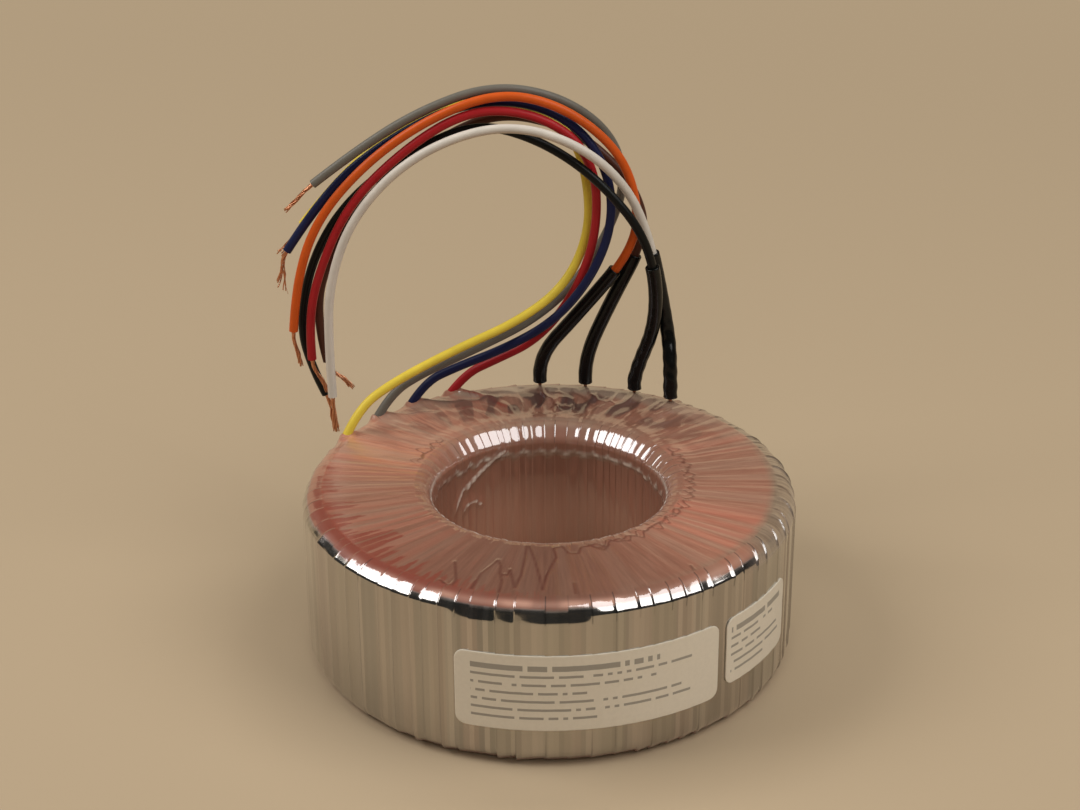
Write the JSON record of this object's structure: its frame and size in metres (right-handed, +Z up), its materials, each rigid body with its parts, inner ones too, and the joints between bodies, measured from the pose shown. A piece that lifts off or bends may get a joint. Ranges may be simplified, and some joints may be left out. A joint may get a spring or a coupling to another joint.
{
  "type": "toroidal transformer",
  "caption": "Ring-shaped mains transformer wound on a steel core under lapped clear film, with coloured flying leads rising from its top.",
  "frame": {"origin": "centre of the ring's flat underside, on the ring's axis", "axes": "+Z up along the ring's axis; +Y towards the side where the leads come out; -Y is the side with the larger label"},
  "size_m": [0.1656, 0.1501, 0.1589],
  "materials": {
    "core_steel": "bare grain-oriented strip, dull grey",
    "barrier_film": "polyester film, straw tint",
    "winding_copper": "enamelled copper wire, pink-red, glossy",
    "band_steel": "bright steel strip",
    "clear_film": "clear polyester tape in lapped turns over copper and steel",
    "label_white": "matt white film label",
    "strand_copper": "bare stranded copper",
    "sleeve_black": "shiny black sleeving",
    "jacket_black": "black PVC hook-up wire, satin",
    "jacket_white": "white PVC hook-up wire, satin",
    "jacket_brown": "brown PVC hook-up wire, satin",
    "jacket_orange": "orange PVC hook-up wire, satin",
    "jacket_red": "red PVC hook-up wire, satin",
    "jacket_blue": "blue PVC hook-up wire, satin",
    "jacket_grey": "grey PVC hook-up wire, satin",
    "jacket_yellow": "yellow PVC hook-up wire, satin"
  },
  "bodies": {
    "root": {"core": "core_steel", "core_insulation": "barrier_film", "primary_winding_a": "winding_copper", "primary_winding_b": "winding_copper", "interwinding_insulation": "barrier_film", "secondary_winding_a": "winding_copper", "secondary_winding_b": "winding_copper", "flux_band": "band_steel", "outer_wrap": "clear_film", "rating_label": "label_white", "side_label": "label_white", "lead_black": "jacket_black", "lead_white": "jacket_white", "lead_brown": "jacket_brown", "lead_orange": "jacket_orange", "lead_red": "jacket_red", "lead_blue": "jacket_blue", "lead_grey": "jacket_grey", "lead_yellow": "jacket_yellow", "conductor_black": "strand_copper", "conductor_white": "strand_copper", "conductor_brown": "strand_copper", "conductor_orange": "strand_copper", "conductor_red": "strand_copper", "conductor_blue": "strand_copper", "conductor_grey": "strand_copper", "conductor_yellow": "strand_copper", "sleeve_black": "sleeve_black", "sleeve_white": "sleeve_black", "sleeve_brown": "sleeve_black", "sleeve_orange": "sleeve_black"}
  },
  "joints": []
}
